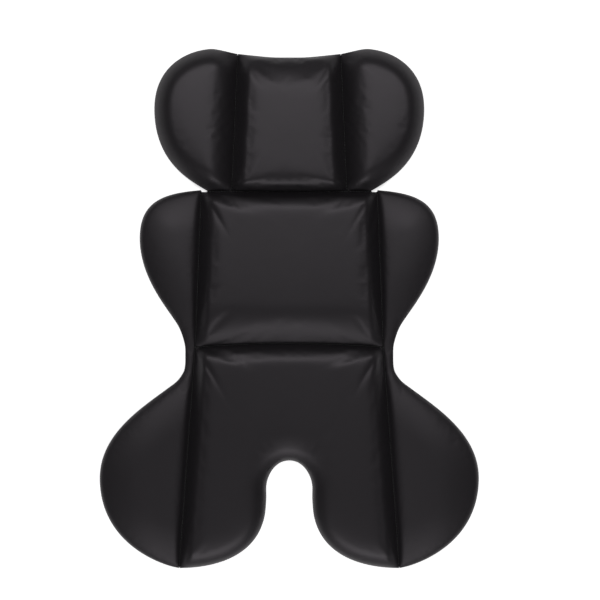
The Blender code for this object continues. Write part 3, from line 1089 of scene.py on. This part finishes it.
def borrow_normals(mesh, whole):
    """Give a cut piece the whole panel's shading, so that no line shows where it was cut."""
    tree = KDTree(len(whole.vertices))
    for vert in whole.vertices:
        tree.insert(vert.co, vert.index)
    tree.balance()
    seam = [False] * len(whole.vertices)
    crease = whole.attributes.get("crease_edge")
    if crease is not None:
        for edge, value in zip(whole.edges, crease.data):
            if value.value > 0.5:
                for index in edge.vertices:
                    seam[index] = True
    normals = []
    for polygon in mesh.polygons:
        for index in polygon.vertices:
            if not polygon.use_smooth:
                normals.append(polygon.normal)
                continue
            total = Vector((0.0, 0.0, 0.0))
            for _, other, gap in tree.find_n(mesh.vertices[index].co, 3):
                if gap < 1e-7 or total.length == 0.0 or not seam[other]:
                    total += whole.vertices[other].normal / (gap + 1e-6)
                if gap < 1e-7:
                    break
            normals.append(total.normalized())
    mesh.normals_split_custom_set(normals)


# Operators.

class LINER_OT_centre_pads(bpy.types.Operator):
    """Make the head, back and seat pads"""

    bl_idname = "seat_liner.centre_pads"
    bl_label = "Centre pads"

    def execute(self, context):
        sizes = settings().pads
        head = stuffed("head_pad", head_pad_edges(), even(sizes.head_crown), 1)
        back = stuffed("back_pad", back_pad_edges(), even(sizes.back_crown), 2)
        seat = stuffed("seat_pad", seat_pad_edges(), even(sizes.seat_crown), 3)
        for piece, body, cell, fill in ((head, "head", "head_panel", 0.7), (back, "back", "back_panel", 0.6),
                                        (seat, "seat", "seat_panel", 0.6)):
            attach(piece, body)
            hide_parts(*cell_nodes(cell))
        return {"FINISHED"}


class LINER_OT_head_bolsters(bpy.types.Operator):
    """Make the head pillow's two side lobes"""

    bl_idname = "seat_liner.head_bolsters"
    bl_label = "Head bolsters"

    def execute(self, context):
        edges = bolster_edges()
        for k, (side, sign) in enumerate(SIDES):
            crown = even(settings().pads.bolster_crown)
            piece = stuffed(f"head_bolster_pad_{side}", on_side(edges, sign), crown, 10 + k)
            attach(piece, f"head_bolster_{side}")
            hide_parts(*cell_nodes(f"head_bolster_{side}"))
        return {"FINISHED"}


def wing_bend(sign):
    """Where a back wing stops following the back and turns wholly with its fold."""
    return (sign * BACK_SIDE.x_at(NECK_TOP_Y), NECK_TOP_Y, SEAM_Z), \
        (sign * BACK_SIDE.x_at(NECK_TOP_Y + WING_TWIST), NECK_TOP_Y + WING_TWIST, SEAM_Z)


def thigh_bend(sign):
    """The same for a thigh wing, which hangs from the seat."""
    return (sign * SEAT_SIDE.x_at(NECK_LOW_Y), NECK_LOW_Y, SEAM_Z), \
        (sign * SEAT_SIDE.x_at(NECK_LOW_Y - THIGH_TWIST), NECK_LOW_Y - THIGH_TWIST, SEAM_Z)


def neck_bend(sign):
    """Where a neck bends, from the back above the waist to the seat below it."""
    x = sign * BACK_SIDE.x_at(WAIST_Y)
    return (x, WAIST_Y + NECK_BEND, SEAM_Z), (x, WAIST_Y - NECK_BEND, SEAM_Z)


BENDS = {"back_wing_pad": wing_bend, "neck_pad": neck_bend, "thigh_wing_pad": thigh_bend}


class LINER_OT_side_panels(bpy.types.Operator):
    """Make each side's back wing, neck and thigh wing from one stuffed panel"""

    bl_idname = "seat_liner.side_panels"
    bl_label = "Side panels"

    def execute(self, context):
        edges = side_panel_edges()
        for k, (side, sign) in enumerate(SIDES):
            whole = stuffed(f"side_panel_{side}", on_side(edges, sign), side_height, 20 + k, SIDE_FULLNESS)
            pieces = (
                (f"back_wing_pad_{side}", NECK_TOP_Y, None, "back", f"back_wing_{side}", wing_bend(sign),
                 cell_nodes(f"back_wing_{side}")),
                (f"neck_pad_{side}", NECK_LOW_Y, NECK_TOP_Y, "back", "seat", neck_bend(sign),
                 [f"neck_{side}"]),
                (f"thigh_wing_pad_{side}", None, NECK_LOW_Y, "seat", f"thigh_wing_{side}", thigh_bend(sign),
                 cell_nodes(f"thigh_wing_{side}")),
            )
            for name, low, high, held_by, turns_with, (start, end), nodes in pieces:
                piece = part_between(whole, name, low, high)
                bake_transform(piece, held_by, turns_with, start=start, end=end)
                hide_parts(*nodes)
            bpy.data.objects.remove(whole, do_unlink=True)
        return {"FINISHED"}


def stitch_values(pitch, length, width, lift=0.0):
    """The inputs of a row of stitches."""
    return {
        "Pitch": pitch,
        "Stitch length": length,
        "Stitch width": width,
        "Thread thickness": thread_thickness(),
        "Lift": lift,
        "Thread": sewing_thread(),
    }


def thread_thickness():
    return settings().stitches.thread_radius * 2


def seam_values():
    """The inputs of a sewn fold."""
    stitches = settings().stitches
    values = stitch_values(stitches.seam_pitch, stitches.seam_stitch, thread_thickness(), stitches.seam_roll)
    values["Roll radius"] = stitches.seam_roll
    values["Seam cloth"] = seam_shade_fabric()
    return values


class LINER_OT_sewn_folds(bpy.types.Operator):
    """Make the rolled and stitched seam in each fold"""

    bl_idname = "seat_liner.sewn_folds"
    bl_label = "Sewn folds"

    def execute(self, context):
        sizes = settings().pads
        step = sizes.mesh_step
        head_x = max(point[0] for point in rim("head_bolster_right_cover")
                     if point[1] < HEAD_FOLD_Y + NEAR_FOLD)
        waist_x = BACK_SIDE.x_at(WAIST_Y)
        head_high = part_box("head_bolster_fold_right")[1].y
        folds = [
            ("head_seam", "back", "head_fold",
             straight((-head_x, HEAD_FOLD_Y), (head_x, HEAD_FOLD_Y), step)),
            ("waist_seam", "back", "waist_fold",
             bowed((-waist_x, WAIST_Y), (waist_x, WAIST_Y), sizes.waist_arch, step)),
        ]
        for side, sign in SIDES:
            turn = np.array((sign, 1.0))
            folds += [
                (f"head_bolster_seam_{side}", "head", f"head_bolster_fold_{side}",
                 straight(HEAD_SIDE.point(HEAD_FOLD_Y), HEAD_SIDE.point(head_high), step) * turn),
                (f"back_wing_seam_{side}", "back", f"back_wing_fold_{side}",
                 straight(BACK_SIDE.point(WAIST_Y), BACK_SIDE.point(HEAD_FOLD_Y), step) * turn),
                (f"thigh_wing_seam_{side}", "seat", f"thigh_wing_fold_{side}",
                 straight(SEAT_SIDE.point(SEAT_LOW_Y), SEAT_SIDE.point(WAIST_Y), step) * turn),
            ]
        for name, body, node, line in folds:
            run = np.hstack([line, np.full((len(line), 1), SEAM_Z)])
            piece = laid_along(name, [run], seam_tree(), seam_values())
            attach(piece, body)
            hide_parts(node)
        return {"FINISHED"}


def surface_under(obj):
    graph = bpy.context.evaluated_depsgraph_get()
    return BVHTree.FromObject(obj, graph)


def inset_run(points, depth, loop):
    """The stretch moved into its cell by the depth, without the points that come too near another edge."""
    run = np.gradient(points, axis=0)
    inwards = np.stack([-run[:, 1], run[:, 0]], axis=1) / np.linalg.norm(run, axis=1)[:, None]
    moved = points + inwards * depth
    keep = (along_and_off(moved, closed(loop))[0] > depth * 0.92) & inside(moved, loop)
    return moved[keep]


def on_surface(line, surface, upwards):
    """The plan points laid on a pad, reached from below or from above."""
    found = []
    for x, y in line:
        start = (x, y, -0.1) if upwards else (x, y, 0.2)
        hit, _, _, _ = surface.ray_cast(start, (0.0, 0.0, 1.0 if upwards else -1.0))
        if hit is not None:
            found.append(tuple(hit))
    return found


class LINER_OT_hem_stitches(bpy.types.Operator):
    """Stitch the turned edges on the rear"""

    bl_idname = "seat_liner.hem_stitches"
    bl_label = "Hem stitches"

    def execute(self, context):
        stitches = settings().stitches
        values = stitch_values(stitches.hem_pitch, stitches.hem_stitch, thread_thickness())
        pads = [("head_pad", head_pad_edges(), 1), ("seat_pad", seat_pad_edges(), 1)]
        for side, sign in SIDES:
            pads.append((f"head_bolster_pad_{side}", bolster_edges(), sign))
            pads += [(f"{part}_{side}", side_panel_edges(), sign)
                     for part in ("back_wing_pad", "neck_pad", "thigh_wing_pad")]
        for name, edges, sign in pads:
            owner = bpy.data.objects[name]
            edges = on_side(edges, sign)
            loop = outline(edges)
            surface = surface_under(owner)
            runs = [on_surface(inset_run(edge.points, stitches.hem_inset, loop), surface, True)
                    for edge in edges if edge.hemmed]
            runs = [run for run in runs if len(run) > 2]
            piece = laid_along(name.replace("_pad", "_hem_stitches"), runs, stitch_tree(), values)
            follow(piece, owner)
        return {"FINISHED"}


def follow(piece, owner):
    """Let a piece move exactly as the pad that it is sewn to."""
    if "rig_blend" in owner:
        part, _, side = owner.name.rpartition("_")
        start, end = BENDS[part](dict(SIDES)[side])
        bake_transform(piece, *owner["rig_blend"], start=start, end=end)
    else:
        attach(piece, owner["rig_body"])


class LINER_OT_slot_tacks(bpy.types.Operator):
    """Sew the two tacks that hold the corners of the crotch slot"""

    bl_idname = "seat_liner.slot_tacks"
    bl_label = "Slot tacks"

    def execute(self, context):
        stitches = settings().stitches
        edges = seat_pad_edges()
        owner = bpy.data.objects["seat_pad"]
        surface = surface_under(owner)
        line = inset_run(edges[0].points, stitches.tack_inset, outline(edges))
        top = line[:, 1].max()
        runs = []
        for sign in (-1, 1):
            near = (line[:, 0] * sign > TACK_FROM_MIDDLE) & (line[:, 1] > top - TACK_DEPTH) \
                & (np.abs(line[:, 0]) < TACK_REACH)
            runs.append(on_surface(line[near], surface, False))
        values = stitch_values(stitches.tack_pitch, thread_thickness(), TACK_WIDTH, TACK_LIFT)
        piece = laid_along("slot_tacks", runs, stitch_tree(), values)
        follow(piece, owner)
        return {"FINISHED"}


def area_light(name, place, aim, size, power):
    light = bpy.data.lights.new(name, "AREA")
    light.shape = "RECTANGLE"
    light.size, light.size_y = size
    light.energy = power
    obj = linked(name, light)
    obj.location = place
    obj.rotation_euler = (Vector(aim) - Vector(place)).to_track_quat("-Z", "Y").to_euler()


class LINER_OT_studio(bpy.types.Operator):
    """Set up the floor, the lights and the camera"""

    bl_idname = "seat_liner.studio"
    bl_label = "Studio"

    def execute(self, context):
        studio = settings().studio
        scene = context.scene
        floor = bpy.data.meshes.new("floor")
        half = FLOOR_HALF
        floor.from_pydata([(-half, -half, 0.0), (half, -half, 0.0), (half, half, 0.0), (-half, half, 0.0)],
                          [], [(0, 1, 2, 3)])
        floor.materials.append(backdrop_paper())
        linked("floor", floor)

        for name, place, aim, size in LIGHTS:
            area_light(name, place, aim, size, getattr(studio, name))

        world = bpy.data.worlds.new("soft sky")
        world.use_nodes = True
        sky = world.node_tree.nodes["Background"]
        sky.inputs["Color"].default_value = SKY_COLOUR
        sky.inputs["Strength"].default_value = studio.sky
        scene.world = world
        scene.view_settings.view_transform = "Standard"

        lens = bpy.data.cameras.new("camera")
        lens.lens = studio.lens
        camera = linked("camera", lens)
        distance = studio.view_width * studio.lens / lens.sensor_width
        camera.location = (studio.view_right, studio.view_up, distance + SEAM_Z)
        scene.camera = camera
        return {"FINISHED"}


class LinerSettings(bpy.types.PropertyGroup):
    """All of the liner's settings."""

    pads: PointerProperty(type=PadSizes)
    stitches: PointerProperty(type=StitchSizes)
    colours: PointerProperty(type=FabricColours)
    studio: PointerProperty(type=StudioSizes)


OPERATORS = (LINER_OT_centre_pads, LINER_OT_head_bolsters, LINER_OT_side_panels, LINER_OT_sewn_folds,
             LINER_OT_hem_stitches, LINER_OT_slot_tacks, LINER_OT_studio)


class LINER_PT_panel(bpy.types.Panel):
    """Settings and steps of the seat liner"""

    bl_label = "Seat liner"
    bl_space_type = "VIEW_3D"
    bl_region_type = "UI"
    bl_category = "Seat liner"

    def draw(self, context):
        liner = context.scene.seat_liner
        for title, group in (("Pads", liner.pads), ("Stitching", liner.stitches), ("Colours", liner.colours),
                             ("Studio", liner.studio)):
            box = self.layout.box()
            box.label(text=title)
            for name in group.__annotations__:
                box.prop(group, name)
        for operator in OPERATORS:
            self.layout.operator(operator.bl_idname)


CLASSES = (PadSizes, StitchSizes, FabricColours, StudioSizes, LinerSettings) + OPERATORS + (LINER_PT_panel,)


def register():
    for cls in CLASSES:
        bpy.utils.register_class(cls)
    bpy.types.Scene.seat_liner = PointerProperty(type=LinerSettings)


def unregister():
    del bpy.types.Scene.seat_liner
    for cls in reversed(CLASSES):
        bpy.utils.unregister_class(cls)


def main():
    register()
    bpy.ops.seat_liner.centre_pads()
    bpy.ops.seat_liner.head_bolsters()
    bpy.ops.seat_liner.side_panels()
    bpy.ops.seat_liner.sewn_folds()
    bpy.ops.seat_liner.hem_stitches()
    bpy.ops.seat_liner.slot_tacks()
    bpy.ops.seat_liner.studio()


if __name__ == "__main__":
    main()
